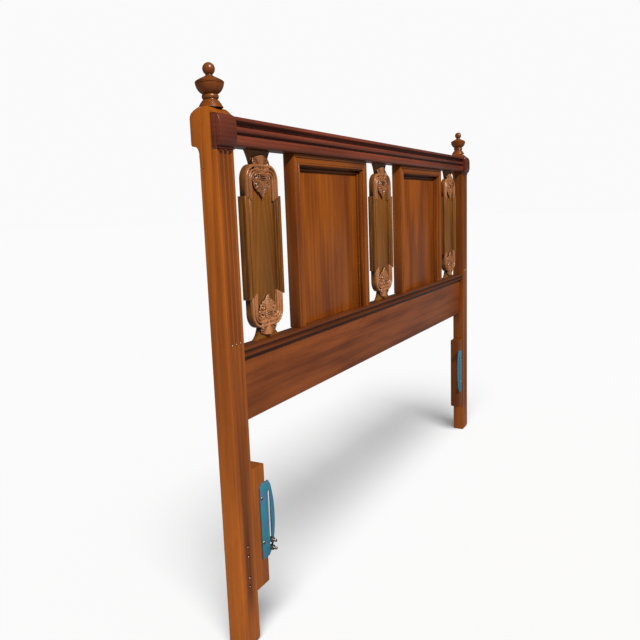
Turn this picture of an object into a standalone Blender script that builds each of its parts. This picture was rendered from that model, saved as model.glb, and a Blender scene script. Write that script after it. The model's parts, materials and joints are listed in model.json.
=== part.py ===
"""A carved and moulded wooden headboard for a queen-size bed, in metres, +Z up.

X runs along the width with 0 in the middle, -Y is the carved front, and the two posts stand on Z = 0.
Depths are given as distances behind the front face of the posts, and depth() turns one into a world Y.
"""

import math

import bmesh
import bpy
from mathutils import Matrix, Vector

# Driving dimensions
WIDTH = 1.575  # outside face to outside face of the posts
GAP = 0.0003  # left between pieces that touch
CAPITAL_BACK = 0.0574  # depth of the back of the posts' widened tops
BOLT_TIP = -0.0150  # depth of the tips of the bracket bolts, the foremost points
FRONT_Y = -(CAPITAL_BACK + BOLT_TIP) / 2  # world Y of the front of the posts: the whole is centred on Y = 0

# Posts
POST_WIDTH = 0.0521
POST_DEPTH = 0.040
POST_TOP = 1.0785
SEAM_DEPTH = 0.0315
SHOULDER_FOOT = 0.970
FOOT_EASE = 0.007
FLUTE_RADIUS = 0.0048
FLUTE_PITCH = 0.0135
FLUTE_LOW, FLUTE_HIGH = 0.640, 0.994
SCREW_HOLE_HEIGHTS = (0.134, 0.1533, 0.1996, 0.2204)
POST_INNER = WIDTH / 2 - POST_WIDTH
POST_CENTRE = WIDTH / 2 - POST_WIDTH / 2

# End plates, let into the front of the posts
PLATE_LOW, PLATE_HIGH = 1.003, 1.066
PLATE_FRONT, PLATE_BACK = -0.0110, 0.0093

# Finials
FINIAL_AXIS = 0.0267
FINIAL_TOP = 1.159
DOWEL_RADIUS, DOWEL_LENGTH = 0.0035, 0.025

# Rails
TOP_RAIL_LOW, TOP_RAIL_HIGH = 1.0117, 1.0644
TOP_RAIL_FRONT, TOP_RAIL_BACK = -0.003, 0.038
LEDGE_LOW, LEDGE_HIGH = 0.6039, 0.625
LEDGE_BACK = 0.033
LOWER_RAIL_LOW, LOWER_RAIL_HIGH = 0.472, 0.6036
LOWER_RAIL_FRONT, LOWER_RAIL_BACK = 0.014, 0.036
TENON_LENGTH, TENON_THICKNESS = 0.022, 0.012

# Framed panels, one each side of the middle splat
PANEL_CENTRE = 0.3115
PANEL_HALF = 0.190
FRAME_FRONT, FRAME_BACK = 0.008, 0.0355
FRAME_FACE = 0.024
TOP_MEMBER_LOW = 0.988
STRIP_FRONT, STRIP_BACK = 0.012, 0.0247
STRIP_WIDTH = 0.0125
BOARD_FRONT, BOARD_BACK = 0.025, 0.031

# Splats
SPLAT_CENTRE = 0.6208
SPLAT_FRONT, SPLAT_BACK = 0.020, 0.0315
SPLAT_LOW, SPLAT_HIGH = 0.650, 0.983
SPLAT_END_HALF, SPLAT_MID_HALF = 0.058, 0.066
SPLAT_CORNER = 0.032
STEP_LOW, STEP_HIGH = 0.712, 0.920
STEP_SLOPE = 0.42
EDGING_WIDTH = 0.025
EDGING_FRONT = 0.012
BAND_WIDTH = 0.022
SHIELD_FRONT = 0.009
SHIELD_HALF = 0.032
NECK_NARROW, NECK_WIDE = 0.027, 0.041

# Bed-rail brackets
BLOCK_WIDTH = 0.049
BLOCK_LOW, BLOCK_HIGH = 0.107, 0.3715
BLOCK_FRONT, BLOCK_BACK = 0.002, 0.036
BRACKET_THICKNESS = 0.003
BRACKET_LOW, BRACKET_HIGH = 0.166, 0.332
SLOT_WIDTH = 0.0085
SLOT_LOW, SLOT_HIGH = 0.174, 0.309
SCREW_HEIGHTS = (0.203, 0.301)
BOLT_HEIGHTS = (0.180, 0.1975)
BOLT_RADIUS = 0.003175
HEX_RADIUS = 0.0064

# Base colour, roughness and metallic value of each finish
FINISHES = {
    "post_wood": ((0.30, 0.095, 0.022), 0.35, 0.0),
    "mahogany_wood": ((0.11, 0.026, 0.018), 0.32, 0.0),
    "rail_wood": ((0.17, 0.045, 0.014), 0.33, 0.0),
    "panel_wood": ((0.22, 0.062, 0.014), 0.30, 0.0),
    "splat_wood": ((0.20, 0.075, 0.022), 0.30, 0.0),
    "carving_wood": ((0.22, 0.080, 0.032), 0.34, 0.0),
    "bracket_paint": ((0.035, 0.23, 0.36), 0.45, 0.0),
    "screw_steel": ((0.22, 0.20, 0.18), 0.45, 1.0),
}


def depth(behind_front):
    """World Y of a plane that lies this far behind the front face of the posts."""
    return FRONT_Y + behind_front


def new_collection(name):
    collection = bpy.data.collections.new(name)
    bpy.context.scene.collection.children.link(collection)
    return collection


def clear_scene():
    for old in list(bpy.data.objects):
        bpy.data.objects.remove(old, do_unlink=True)


def finish(name):
    material = bpy.data.materials.get(name)
    if material:
        return material
    colour, roughness, metallic = FINISHES[name]
    material = bpy.data.materials.new(name)
    material.use_nodes = True
    shader = material.node_tree.nodes["Principled BSDF"]
    shader.inputs["Base Color"].default_value = (*colour, 1.0)
    shader.inputs["Roughness"].default_value = roughness
    shader.inputs["Metallic"].default_value = metallic
    material.diffuse_color = (*colour, 1.0)
    return material


def place(name, mesh, material_name, group):
    """Link a mesh into a collection as one named object."""
    mesh.name = name
    mesh.materials.clear()
    mesh.materials.append(finish(material_name))
    piece = bpy.data.objects.new(name, mesh)
    group.objects.link(piece)
    return piece


def box(name, x, y, z, material_name, group):
    """A block between two values of X, of depth and of Z."""
    low = Vector((min(x), depth(min(y)), min(z)))
    high = Vector((max(x), depth(max(y)), max(z)))
    shape = bmesh.new()
    place_in_space = Matrix.Translation((low + high) / 2) @ Matrix.Diagonal((*(high - low), 1.0))
    bmesh.ops.create_cube(shape, size=1.0, matrix=place_in_space)
    mesh = bpy.data.meshes.new(name)
    shape.to_mesh(mesh)
    shape.free()
    return place(name, mesh, material_name, group)


def outline_mesh(outlines, thickness):
    """A flat shape in local X and Y, with any inner outlines as holes, as thick as asked about its middle."""
    curve = bpy.data.curves.new("outline", "CURVE")
    curve.dimensions = "2D"
    curve.fill_mode = "BOTH"
    curve.extrude = thickness / 2
    for points in outlines:
        spline = curve.splines.new("POLY")
        spline.points.add(len(points) - 1)
        for point, (u, v) in zip(spline.points, points):
            point.co = (u, v, 0.0, 1.0)
        spline.use_cyclic_u = True
    holder = bpy.data.objects.new("outline", curve)
    bpy.context.scene.collection.objects.link(holder)
    bpy.context.view_layer.update()
    graph = bpy.context.evaluated_depsgraph_get()
    mesh = bpy.data.meshes.new_from_object(holder.evaluated_get(graph))
    bpy.data.objects.remove(holder, do_unlink=True)
    bpy.data.curves.remove(curve)
    return mesh


def weld(mesh, matrix):
    """Move a mesh to its place, close the seams along its caps and turn its faces outwards."""
    shape = bmesh.new()
    shape.from_mesh(mesh)
    bmesh.ops.transform(shape, matrix=matrix, verts=shape.verts)
    bmesh.ops.remove_doubles(shape, verts=shape.verts, dist=0.00001)
    bmesh.ops.recalc_face_normals(shape, faces=shape.faces)
    shape.to_mesh(mesh)
    shape.free()


def front_slab(name, outlines, y, material_name, group):
    """A flat shape seen from the front: outlines in X and Z, between two depths."""
    mesh = outline_mesh(outlines, max(y) - min(y))
    middle = depth((y[0] + y[1]) / 2)
    weld(mesh, Matrix.Translation((0.0, middle, 0.0)) @ Matrix.Rotation(math.pi / 2, 4, "X"))
    return place(name, mesh, material_name, group)


def side_slab(name, outline, x, material_name, group):
    """A profile seen from the side: an outline in depth and Z, run between two values of X."""
    mesh = outline_mesh([[(depth(y), z) for y, z in outline]], max(x) - min(x))
    to_side = Matrix(((0, 0, 1, (x[0] + x[1]) / 2), (1, 0, 0, 0), (0, 1, 0, 0), (0, 0, 0, 1)))
    weld(mesh, to_side)
    return place(name, mesh, material_name, group)


def turned(name, profile, centre, steps, material_name, group):
    """A turned shape: (radius, height) points from top to bottom, spun about a vertical axis."""
    shape = bmesh.new()
    points = [shape.verts.new((radius, 0.0, height)) for radius, height in profile]
    for start, end in zip(points, points[1:]):
        shape.edges.new((start, end))
    mesh = bpy.data.meshes.new(name)
    shape.to_mesh(mesh)
    shape.free()
    piece = place(name, mesh, material_name, group)
    piece.location = centre
    screw = piece.modifiers.new("Turn", "SCREW")
    screw.steps = steps
    screw.render_steps = steps
    screw.use_merge_vertices = True
    screw.merge_threshold = 0.00005
    screw.use_smooth_shade = True
    return piece


def peg(name, centre, radius, y, sides, material_name, group, turn=0.0):
    """A straight round or many-sided peg that runs along Y between two depths."""
    length = max(y) - min(y)
    middle = Vector((centre[0], depth((y[0] + y[1]) / 2), centre[1]))
    to_y = Matrix.Translation(middle) @ Matrix.Rotation(math.pi / 2, 4, "X") @ Matrix.Rotation(turn, 4, "Z")
    shape = bmesh.new()
    bmesh.ops.create_cone(
        shape, cap_ends=True, segments=sides, radius1=radius, radius2=radius, depth=length, matrix=to_y
    )
    mesh = bpy.data.meshes.new(name)
    shape.to_mesh(mesh)
    shape.free()
    return place(name, mesh, material_name, group)


def combine(piece, other, operation):
    """Cut another shape from a piece, or join it on, and put that shape with the helpers."""
    boolean = piece.modifiers.new(other.name, "BOOLEAN")
    boolean.operation = operation
    boolean.solver = "EXACT"
    boolean.object = other
    other.hide_render = True
    other.display_type = "WIRE"


def arc(centre, radii, start, end, steps):
    """Points along part of an ellipse, from one angle to another in degrees."""
    points = []
    for step in range(steps + 1):
        angle = math.radians(start + (end - start) * step / steps)
        points.append((centre[0] + radii[0] * math.cos(angle), centre[1] + radii[1] * math.sin(angle)))
    return points


def build_post(side, word):
    """A post: the front lamination with its rebate for the end plate, and the glued shoulder behind it."""
    x = (side * POST_INNER, side * WIDTH / 2)
    seam = SEAM_DEPTH - GAP / 2
    outline = [
        (FOOT_EASE, 0.0),
        (POST_DEPTH - FOOT_EASE, 0.0),
        (POST_DEPTH, FOOT_EASE * 1.6),
        (POST_DEPTH, SHOULDER_FOOT - GAP),
        (seam, SHOULDER_FOOT - GAP),
        (seam, POST_TOP),
        (0.0165, POST_TOP),
        (0.0120, 1.0768),
        (0.0060, 1.0727),
        (0.0010, 1.0680),
        (-0.0010, PLATE_HIGH + GAP),
        (PLATE_BACK + GAP, PLATE_HIGH + GAP),
        (PLATE_BACK + GAP, PLATE_LOW - GAP),
        (0.0, PLATE_LOW - GAP),
        (0.0, FOOT_EASE * 1.6),
    ]
    post = side_slab(word + "_post", outline, x, "post_wood", parts)

    round_low = [
        (seam + GAP, SHOULDER_FOOT),
        (POST_DEPTH, SHOULDER_FOOT),
        (POST_DEPTH, 0.992),
    ]
    round_low += arc((0.0505, 0.992), (0.0105, 0.0178), 180, 100, 4)
    round_low += [(0.0555, 1.0102), (CAPITAL_BACK, 1.0135)]
    round_low += [(CAPITAL_BACK, 1.0580), (0.0566, 1.0632), (0.0545, 1.0675), (0.0510, 1.0710)]
    round_low += [(0.0440, 1.0752), (0.0370, POST_TOP), (seam + GAP, POST_TOP)]
    side_slab(word + "_post_shoulder", round_low, x, "post_wood", parts)

    centre = side * POST_CENTRE
    for number in (-1, 0, 1):
        length = FLUTE_HIGH - FLUTE_LOW
        profile = arc((0.0, FLUTE_HIGH), (FLUTE_RADIUS, FLUTE_RADIUS), 90, 0, 3)
        profile += arc((0.0, FLUTE_HIGH - length), (FLUTE_RADIUS, FLUTE_RADIUS), 0, -90, 3)
        flute_axis = (centre + number * FLUTE_PITCH, depth(-0.0022), 0.0)
        flute = turned(f"{word}_flute_{number + 2}", profile, flute_axis, 10, "post_wood", helpers)
        combine(post, flute, "DIFFERENCE")
    for number, height in enumerate(SCREW_HOLE_HEIGHTS):
        name = f"{word}_screw_hole_{number + 1}"
        hole = peg(name, (centre, height), 0.0022, (-0.005, 0.014), 8, "post_wood", helpers)
        combine(post, hole, "DIFFERENCE")
    hole_profile = [(0.0, 1.09), (DOWEL_RADIUS + GAP, 1.09)]
    hole_profile += [(DOWEL_RADIUS + GAP, POST_TOP - DOWEL_LENGTH), (0.0, POST_TOP - DOWEL_LENGTH)]
    axis = (centre, depth(FINIAL_AXIS), 0.0)
    combine(post, turned(word + "_dowel_hole", hole_profile, axis, 12, "post_wood", helpers), "DIFFERENCE")
    for rail, (low, high), front in (
        ("top", (TOP_RAIL_LOW + 0.008, TOP_RAIL_HIGH - 0.008), 0.0135),
        ("lower", (LOWER_RAIL_LOW + 0.015, LOWER_RAIL_HIGH - 0.015), 0.019),
    ):
        reach = side * (POST_INNER + TENON_LENGTH + GAP)
        mortise = box(
            f"{word}_{rail}_mortise",
            (side * (POST_INNER - 0.01), reach),
            (front - GAP, front + TENON_THICKNESS + GAP),
            (low - GAP, high + GAP),
            "post_wood",
            helpers,
        )
        combine(post, mortise, "DIFFERENCE")


def build_end_plate(side, word):
    """The dark plate with a swelling front that carries the top rail's line across the post."""
    swell = -PLATE_FRONT
    outline = [(PLATE_BACK, PLATE_LOW), (PLATE_BACK, PLATE_HIGH), (-0.0010, PLATE_HIGH)]
    outline += arc((-0.0010, 1.0460), (swell - 0.0010, 0.0190), 105, 180, 4)
    outline += arc((-0.0010, 1.0290), (swell - 0.0010, 0.0210), 180, 258, 4)
    outline += [(-0.0010, 1.0070), (-0.0038, 1.0058), (-0.0038, 1.0040), (-0.0010, PLATE_LOW)]
    side_slab(word + "_end_plate", outline, (side * POST_INNER, side * WIDTH / 2), "mahogany_wood", parts)


def build_finial(side, word):
    """The turned finial with the dowel that holds it in the top of the post."""
    ball = 0.0115
    ball_height = FINIAL_TOP - ball
    base = POST_TOP + GAP
    profile = arc((0.0, ball_height), (ball, ball), 90, -52, 6)
    profile += [(0.0066, 1.1372), (0.0100, 1.1340), (0.0160, 1.1310), (0.0220, 1.1280)]
    profile += [(0.0262, 1.1250), (0.0268, 1.1235), (0.0266, 1.1210)]
    profile += [(0.0250, 1.1162), (0.0218, 1.1100), (0.0182, 1.1060), (0.0160, 1.1042), (0.0142, 1.1034)]
    profile += [(0.0156, 1.1010), (0.0156, 1.0965), (0.0135, 1.0938)]
    profile += [(0.0150, 1.0912), (0.0178, 1.0880), (0.0205, 1.0845), (0.0225, 1.0810)]
    profile += [(0.0232, base), (DOWEL_RADIUS, base), (DOWEL_RADIUS, base - 0.022), (0.0, base - 0.022)]
    axis = (side * POST_CENTRE, depth(FINIAL_AXIS), 0.0)
    turned(word + "_finial", profile, axis, 20, "post_wood", parts)


def build_top_rail():
    """The dark top rail: a square-edged strip, a deep cove, a reed, a quirk and a rounded lower reed."""
    front = TOP_RAIL_FRONT
    outline = [(TOP_RAIL_BACK, TOP_RAIL_LOW), (TOP_RAIL_BACK, TOP_RAIL_HIGH), (front, TOP_RAIL_HIGH)]
    outline += [(front, 1.0575)]
    outline += arc((front, 1.0528), (0.0075, 0.0047), 60, -60, 3)
    outline += arc((0.0020, 1.0418), (0.0045, 0.0063), 90, 270, 5)
    outline += [(0.0042, 1.0350), (0.0042, 1.0322)]
    outline += arc((0.0020, 1.0217), (0.0050, 0.0100), 90, 270, 5)
    rail = side_slab("top_rail", outline, (GAP - POST_INNER, POST_INNER - GAP), "mahogany_wood", parts)
    for side, word in SIDES:
        tenon = box(
            word + "_top_tenon",
            (side * (POST_INNER - 0.01), side * (POST_INNER + TENON_LENGTH)),
            (0.0135, 0.0135 + TENON_THICKNESS),
            (TOP_RAIL_LOW + 0.008, TOP_RAIL_HIGH - 0.008),
            "mahogany_wood",
            helpers,
        )
        combine(rail, tenon, "UNION")


def build_lower_rail():
    """The wide lower rail, and the moulded ledge glued along its top."""
    z = (LOWER_RAIL_LOW, LOWER_RAIL_HIGH)
    y = (LOWER_RAIL_FRONT, LOWER_RAIL_BACK)
    rail = box("lower_rail", (GAP - POST_INNER, POST_INNER - GAP), y, z, "rail_wood", parts)
    for side, word in SIDES:
        tenon = box(
            word + "_lower_tenon",
            (side * (POST_INNER - 0.01), side * (POST_INNER + TENON_LENGTH)),
            (0.019, 0.019 + TENON_THICKNESS),
            (LOWER_RAIL_LOW + 0.015, LOWER_RAIL_HIGH - 0.015),
            "rail_wood",
            helpers,
        )
        combine(rail, tenon, "UNION")
    outline = [(LEDGE_BACK, LEDGE_LOW), (LEDGE_BACK, LEDGE_HIGH), (0.0025, LEDGE_HIGH), (0.0010, 0.6235)]
    outline += [(0.0010, 0.6195)]
    outline += arc((-0.0030, 0.6130), (0.0095, 0.0055), 62, -20, 3)
    outline += [(0.0040, 0.6100), (0.0005, 0.6092), (0.0005, LEDGE_LOW)]
    side_slab("lower_rail_ledge", outline, (GAP - POST_INNER, POST_INNER - GAP), "rail_wood", parts)


def build_panel(side, word):
    """A framed panel: two stiles, a top member, three moulding strips and the flat board behind them."""
    middle = side * PANEL_CENTRE
    low = LEDGE_HIGH + GAP
    high = TOP_RAIL_LOW - GAP
    inner = PANEL_HALF - FRAME_FACE
    frame_y = (FRAME_FRONT, FRAME_BACK)
    strip_inner = inner - GAP - STRIP_WIDTH
    for hand, hand_word in SIDES:
        x = (middle + hand * inner, middle + hand * PANEL_HALF)
        box(f"{word}_panel_{hand_word}_stile", x, frame_y, (low, high), "panel_wood", parts)
        near = middle + hand * (inner - GAP)
        far = middle + hand * strip_inner
        strip = [
            (near, depth(STRIP_FRONT)),
            (near, depth(STRIP_BACK)),
            (far, depth(STRIP_BACK)),
            (far, depth(STRIP_BACK - 0.003)),
            ((near + far) / 2, depth(STRIP_FRONT + 0.004)),
        ]
        mesh = outline_mesh([strip], TOP_MEMBER_LOW - GAP - low)
        weld(mesh, Matrix.Translation((0.0, 0.0, (TOP_MEMBER_LOW - GAP + low) / 2)))
        place(f"{word}_panel_{hand_word}_moulding", mesh, "panel_wood", parts)
    across = (middle - inner + GAP, middle + inner - GAP)
    box(f"{word}_panel_top_member", across, frame_y, (TOP_MEMBER_LOW, high), "panel_wood", parts)
    top = TOP_MEMBER_LOW - GAP
    top_strip = [
        (STRIP_FRONT, top),
        (STRIP_BACK, top),
        (STRIP_BACK, top - STRIP_WIDTH),
        (STRIP_BACK - 0.003, top - STRIP_WIDTH),
        (STRIP_FRONT + 0.004, top - STRIP_WIDTH / 2),
    ]
    strip_x = (middle - strip_inner + GAP, middle + strip_inner - GAP)
    side_slab(f"{word}_panel_top_moulding", top_strip, strip_x, "panel_wood", parts)
    board_y = (BOARD_FRONT, BOARD_BACK)
    box(f"{word}_panel_board", across, board_y, (low, TOP_MEMBER_LOW - GAP), "panel_wood", parts)


def mirrored(points, middle):
    """The closed outline that a right-hand half, listed from bottom to top, makes with its mirror image."""
    right = [(middle + x, z) for x, z in points]
    left = [(middle - x, z) for x, z in reversed(points)]
    return right + left


def build_splat(middle, word):
    """A splat: shaped board, reeded edgings, carved ends with their bands, and the necks to the rails."""
    step_low = STEP_LOW + STEP_SLOPE * (SPLAT_MID_HALF - SPLAT_END_HALF)
    step_high = STEP_HIGH - STEP_SLOPE * (SPLAT_MID_HALF - SPLAT_END_HALF)
    flat = SPLAT_END_HALF - SPLAT_CORNER
    corner = (SPLAT_CORNER, SPLAT_CORNER)
    half = arc((flat, SPLAT_LOW + SPLAT_CORNER), corner, -90, 0, 5)
    half += [(SPLAT_END_HALF, step_low), (SPLAT_MID_HALF, STEP_LOW)]
    half += [(SPLAT_MID_HALF, STEP_HIGH), (SPLAT_END_HALF, step_high)]
    half += arc((flat, SPLAT_HIGH - SPLAT_CORNER), corner, 0, 90, 5)
    board_y = (SPLAT_FRONT, SPLAT_BACK)
    front_slab(f"{word}_splat_board", [mirrored(half, middle)], board_y, "splat_wood", parts)

    edging_y = (EDGING_FRONT, SPLAT_FRONT - GAP)
    inner = SPLAT_MID_HALF - EDGING_WIDTH
    rise = STEP_SLOPE * EDGING_WIDTH
    for hand, hand_word in SIDES:
        edging = [
            (middle + hand * SPLAT_MID_HALF, STEP_LOW),
            (middle + hand * SPLAT_MID_HALF, STEP_HIGH),
            (middle + hand * inner, STEP_HIGH - rise),
            (middle + hand * inner, STEP_LOW + rise),
        ]
        front_slab(f"{word}_splat_{hand_word}_edging", [edging], edging_y, "splat_wood", parts)

    band_inner = SPLAT_END_HALF - BAND_WIDTH
    inner_corner = SPLAT_CORNER - BAND_WIDTH
    clearance = 0.001
    for end, end_word in ((1, "upper"), (-1, "lower")):
        tip = SPLAT_HIGH if end > 0 else SPLAT_LOW
        root = (step_high if end > 0 else step_low) + end * clearance
        inner_root = root - end * STEP_SLOPE * BAND_WIDTH
        outer_arc = [(x, tip - end * SPLAT_CORNER + end * z) for x, z in arc((flat, 0.0), corner, 0, 90, 5)]
        inner_radii = (inner_corner, inner_corner)
        inner_arc = [(x, tip - end * SPLAT_CORNER + end * z) for x, z in arc((flat, 0.0), inner_radii, 90, 0, 4)]
        right = [(SPLAT_END_HALF, root)] + outer_arc
        left = [(-x, z) for x, z in reversed(right)]
        hollow_left = [(-x, z) for x, z in inner_arc] + [(-band_inner, inner_root)]
        hollow = [(band_inner, inner_root)] + list(reversed(inner_arc)) + hollow_left
        band = [(middle + x, z) for x, z in right + left + list(reversed(hollow))]
        name = f"{word}_splat_{end_word}_carving"
        carving = front_slab(name, [band], (EDGING_FRONT, SPLAT_FRONT - GAP), "carving_wood", parts)
        shield_half = [
            (0.004, tip - end * 0.067),
            (0.020, tip - end * 0.053),
            (SHIELD_HALF, tip - end * 0.036),
            (SHIELD_HALF, tip + end * 0.007),
            (0.022, tip + end * 0.015),
            (0.008, tip + end * 0.017),
        ]
        shield_y = (SHIELD_FRONT, SPLAT_FRONT - GAP)
        shield = front_slab(name + "_shield", [mirrored(shield_half, middle)], shield_y, "carving_wood", helpers)
        combine(carving, shield, "UNION")
        rail_side = TOP_RAIL_LOW if end > 0 else LEDGE_HIGH
        neck = [(NECK_NARROW, tip + end * GAP), (NECK_WIDE, rail_side - end * GAP)]
        neck_y = (SPLAT_FRONT, 0.030)
        neck_name = f"{word}_splat_{end_word}_neck"
        front_slab(neck_name, [mirrored(neck, middle)], neck_y, "splat_wood", parts)


def bracket_edge(height):
    """How far the bracket's bowed edge stands out past the post's inner face at a height."""
    return 0.0754 - 2.2 * (height - 0.250) ** 2


def build_bracket(side, word):
    """The filler block, and the painted steel bracket screwed to its front, which takes the bed rail."""

    def world_x(out):
        return side * (POST_INNER - out)

    block_x = (world_x(GAP), world_x(BLOCK_WIDTH))
    block_z = (BLOCK_LOW, BLOCK_HIGH)
    block = box(word + "_bracket_block", block_x, (BLOCK_FRONT, BLOCK_BACK), block_z, "post_wood", parts)

    plate_y = (BLOCK_FRONT - GAP - BRACKET_THICKNESS, BLOCK_FRONT - GAP)
    outline = [(0.0255, BRACKET_LOW), (0.0500, BRACKET_LOW)]
    for step in range(9):
        height = 0.184 + (0.320 - 0.184) * step / 8
        outline.append((bracket_edge(height), height))
    outline += [(0.0560, BRACKET_HIGH), (0.0350, BRACKET_HIGH), (0.0255, BRACKET_HIGH - 0.007)]
    slot_radius = SLOT_WIDTH / 2
    slot_centre = BLOCK_WIDTH + 0.0087
    radii = (slot_radius, slot_radius)
    slot = arc((slot_centre, SLOT_HIGH - slot_radius), radii, 0, 180, 6)
    slot += arc((slot_centre, SLOT_LOW + slot_radius), radii, 180, 360, 6)
    outlines = [[(world_x(x), z) for x, z in points] for points in (outline, slot)]
    plate = front_slab(word + "_bracket_plate", outlines, plate_y, "bracket_paint", parts)

    for number, height in enumerate(SCREW_HEIGHTS):
        place_xz = (world_x(0.0305), height)
        head_y = (plate_y[0] - GAP - 0.0016, plate_y[0] - GAP)
        name = f"{word}_plate_screw_{number + 1}"
        screw = peg(name, place_xz, 0.0040, head_y, 12, "screw_steel", parts)
        shank_y = (head_y[1] - 0.001, 0.022)
        shank = peg(name + "_shank", place_xz, 0.0019, shank_y, 8, "screw_steel", helpers)
        combine(screw, shank, "UNION")
        hole_y = (plate_y[0] - 0.004, 0.0225)
        hole = peg(name + "_hole", place_xz, 0.0024, hole_y, 8, "screw_steel", helpers)
        combine(plate, hole, "DIFFERENCE")
        combine(block, hole, "DIFFERENCE")
    return world_x(slot_centre), plate_y


def build_bolts(slot_x, plate_y):
    """The two bolts and nuts left in the bracket's slot on the left post."""
    for number, height in enumerate(BOLT_HEIGHTS):
        place_xz = (slot_x, height)
        head_y = (plate_y[1] + GAP, plate_y[1] + GAP + 0.004)
        name = f"left_bracket_bolt_{number + 1}"
        bolt = peg(name, place_xz, HEX_RADIUS, head_y, 6, "screw_steel", parts)
        shank_y = (BOLT_TIP, head_y[0] + 0.001)
        shank = peg(name + "_shank", place_xz, BOLT_RADIUS, shank_y, 10, "screw_steel", helpers)
        combine(bolt, shank, "UNION")
        nut_y = (plate_y[0] - GAP - 0.0052, plate_y[0] - GAP)
        nut_name = f"left_bracket_nut_{number + 1}"
        nut = peg(nut_name, place_xz, HEX_RADIUS, nut_y, 6, "screw_steel", parts)
        bore_y = (nut_y[0] - 0.002, nut_y[1] + 0.002)
        bore = peg(nut_name + "_bore", place_xz, BOLT_RADIUS + GAP, bore_y, 10, "screw_steel", helpers)
        combine(nut, bore, "DIFFERENCE")


SIDES = ((-1, "left"), (1, "right"))

clear_scene()
parts = new_collection("headboard")
helpers = new_collection("cutters")
build_top_rail()
build_lower_rail()
for side, word in SIDES:
    build_post(side, word)
    build_end_plate(side, word)
    build_finial(side, word)
    build_panel(side, word)
    bracket_place = build_bracket(side, word)
    if word == "left":
        build_bolts(*bracket_place)
for position, word in ((-1, "left"), (0, "middle"), (1, "right")):
    build_splat(position * SPLAT_CENTRE, word)
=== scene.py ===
# %% [markdown]
# # A carved headboard
#
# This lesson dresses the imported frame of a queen-size wooden headboard.
# Every plain solid is hidden and a finer piece stands in its place, riding the same body.
# The plain solids could have been kept and only painted, but rounded edges and carving need real shape.
# Sizes are in metres. X runs along the width, -Y is the carved front and Z is up.

import json
import math

import bmesh
import bpy
from mathutils import Matrix, Vector

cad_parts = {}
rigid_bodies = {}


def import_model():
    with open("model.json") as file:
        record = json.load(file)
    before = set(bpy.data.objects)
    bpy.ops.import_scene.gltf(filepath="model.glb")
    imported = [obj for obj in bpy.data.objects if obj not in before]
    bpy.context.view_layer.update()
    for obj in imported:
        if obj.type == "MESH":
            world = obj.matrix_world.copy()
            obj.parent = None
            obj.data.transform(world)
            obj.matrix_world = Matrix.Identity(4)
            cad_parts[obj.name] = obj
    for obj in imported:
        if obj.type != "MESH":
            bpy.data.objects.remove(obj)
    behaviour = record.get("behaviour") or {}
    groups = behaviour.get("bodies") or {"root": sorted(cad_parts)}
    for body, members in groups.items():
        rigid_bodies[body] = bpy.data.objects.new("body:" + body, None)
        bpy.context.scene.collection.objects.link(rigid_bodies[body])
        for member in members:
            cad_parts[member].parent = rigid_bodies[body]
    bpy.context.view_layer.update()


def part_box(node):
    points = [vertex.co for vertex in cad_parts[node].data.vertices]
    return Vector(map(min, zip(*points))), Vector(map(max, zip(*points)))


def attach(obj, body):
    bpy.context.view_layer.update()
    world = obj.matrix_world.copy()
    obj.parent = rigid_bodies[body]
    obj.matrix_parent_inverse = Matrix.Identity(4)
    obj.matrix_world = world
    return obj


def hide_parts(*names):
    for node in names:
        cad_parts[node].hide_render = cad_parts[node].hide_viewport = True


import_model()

# %% [markdown]
# ## Where things are
#
# Depths are measured back from the front face of the posts, because a cabinetmaker would mark them that way.
# The frame's own boxes give the places that everything else is set out from.

# %% Measure the frame
POST_LOW, POST_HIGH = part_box("left_post")
RAIL_LOW, RAIL_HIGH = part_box("top_rail")
FRONT_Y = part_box("left_bracket_block")[0].y - 0.002
POST_OUTER = -POST_LOW.x
POST_INNER = -POST_HIGH.x
POST_CENTRE = (POST_OUTER + POST_INNER) / 2
POST_TOP = POST_HIGH.z
LEDGE_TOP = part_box("lower_rail_ledge")[1].z
RAIL_UNDERSIDE = RAIL_LOW.z
SIDES = ((-1, "left"), (1, "right"))
print(f"posts: {POST_OUTER - POST_INNER:.4f} m wide, {POST_TOP:.3f} m high; front plane at y = {FRONT_Y:.4f}")


def behind(depth):
    """World Y of a plane that lies this far behind the front of the posts."""
    return FRONT_Y + depth


# %% [markdown]
# ## Tools for shapes
#
# A moulding is a closed outline extruded along a straight line, and a bent one is swept along a path.
# A turned piece is a profile spun once round, as on a lathe, and a mitre is sawn with a plane.
# Each could be modelled face by face, but drawn outlines keep the real sizes in sight.
# Small rounded edges matter as much as the shapes, because they are what catches the light.


# %% Outlines
def arc(centre, radii, start, end, steps=8):
    """Points along part of an ellipse, from one angle to another in degrees."""
    points = []
    for step in range(steps + 1):
        angle = math.radians(start + (end - start) * step / steps)
        points.append((centre[0] + radii[0] * math.cos(angle), centre[1] + radii[1] * math.sin(angle)))
    return points


def bead(start, end, rise, steps=6):
    """Points along a rounded swelling between two points; `rise` is how far it stands out to the left."""
    (a0, b0), (a1, b1) = start, end
    length = math.hypot(a1 - a0, b1 - b0)
    out = (-(b1 - b0) / length * rise, (a1 - a0) / length * rise)
    points = []
    for step in range(steps + 1):
        angle = math.pi * step / steps
        t = (1 - math.cos(angle)) / 2
        s = math.sin(angle)
        points.append((a0 + (a1 - a0) * t + out[0] * s, b0 + (b1 - b0) * t + out[1] * s))
    return points


print("points in a quarter round:", len(arc((0, 0), (1, 1), 0, 90)))


# %% Directions to extrude an outline in
def along_x(a, b, t):
    """An outline of (depth, height) points, extruded along the width."""
    return (t, behind(a), b)


def along_y(a, b, t):
    """An outline of (width, height) points, extruded from front to back."""
    return (a, behind(t), b)


def along_z(a, b, t):
    """An outline of (width, depth) points, extruded upwards."""
    return (a, behind(b), t)


print("the front of the posts as a place:", [round(value, 4) for value in along_x(0.0, 0.0, 0.0)])


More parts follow.
